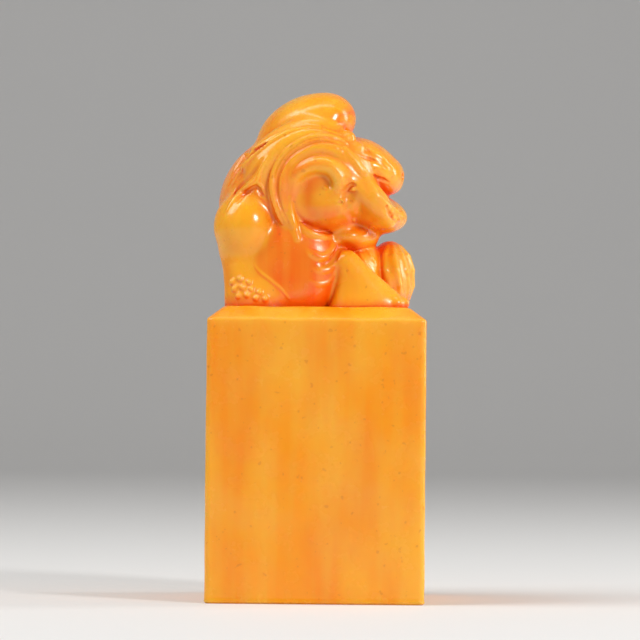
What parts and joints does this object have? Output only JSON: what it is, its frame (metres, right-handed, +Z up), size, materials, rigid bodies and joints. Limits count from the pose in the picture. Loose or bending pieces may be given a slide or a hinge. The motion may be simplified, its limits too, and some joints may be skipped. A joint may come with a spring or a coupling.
{
  "type": "seal stamp",
  "caption": "Square stone hand seal with a bare flat printing face and a crouching guardian beast carved on top as its knob.",
  "frame": {"origin": "centre of the square printing face, at the bottom of the block", "axes": "+Z up along the shaft, +X the way the beast looks, -Y the side of the beast that the picture shows"},
  "size_m": [0.025, 0.025, 0.0583],
  "materials": {
    "block_stone": "polished",
    "carved_stone": "polished"
  },
  "bodies": {
    "root": {"seal_block": "block_stone", "sloped_shoulder": "block_stone", "head": "carved_stone", "belly": "carved_stone", "back": "carved_stone", "crown": "carved_stone", "upper_jaw": "carved_stone", "lower_jaw": "carved_stone", "brow_knobs": "carved_stone", "chin_tuft": "carved_stone", "chest": "carved_stone", "foreleg_far": "carved_stone", "foreleg_tufts": "carved_stone", "foreleg_near": "carved_stone", "fore_paw_near": "carved_stone", "haunch_near": "carved_stone", "haunch_far": "carved_stone", "hind_leg_near": "carved_stone", "hind_leg_far": "carved_stone", "hind_paw_near": "carved_stone", "hind_paw_far": "carved_stone", "flank_folds_near": "carved_stone", "flank_folds_far": "carved_stone", "mane_strands_near": "carved_stone", "mane_strands_far": "carved_stone", "cheek_rim_near": "carved_stone", "cheek_rim_far": "carved_stone", "cheek_curl_near": "carved_stone", "cheek_curl_far": "carved_stone"}
  },
  "joints": []
}
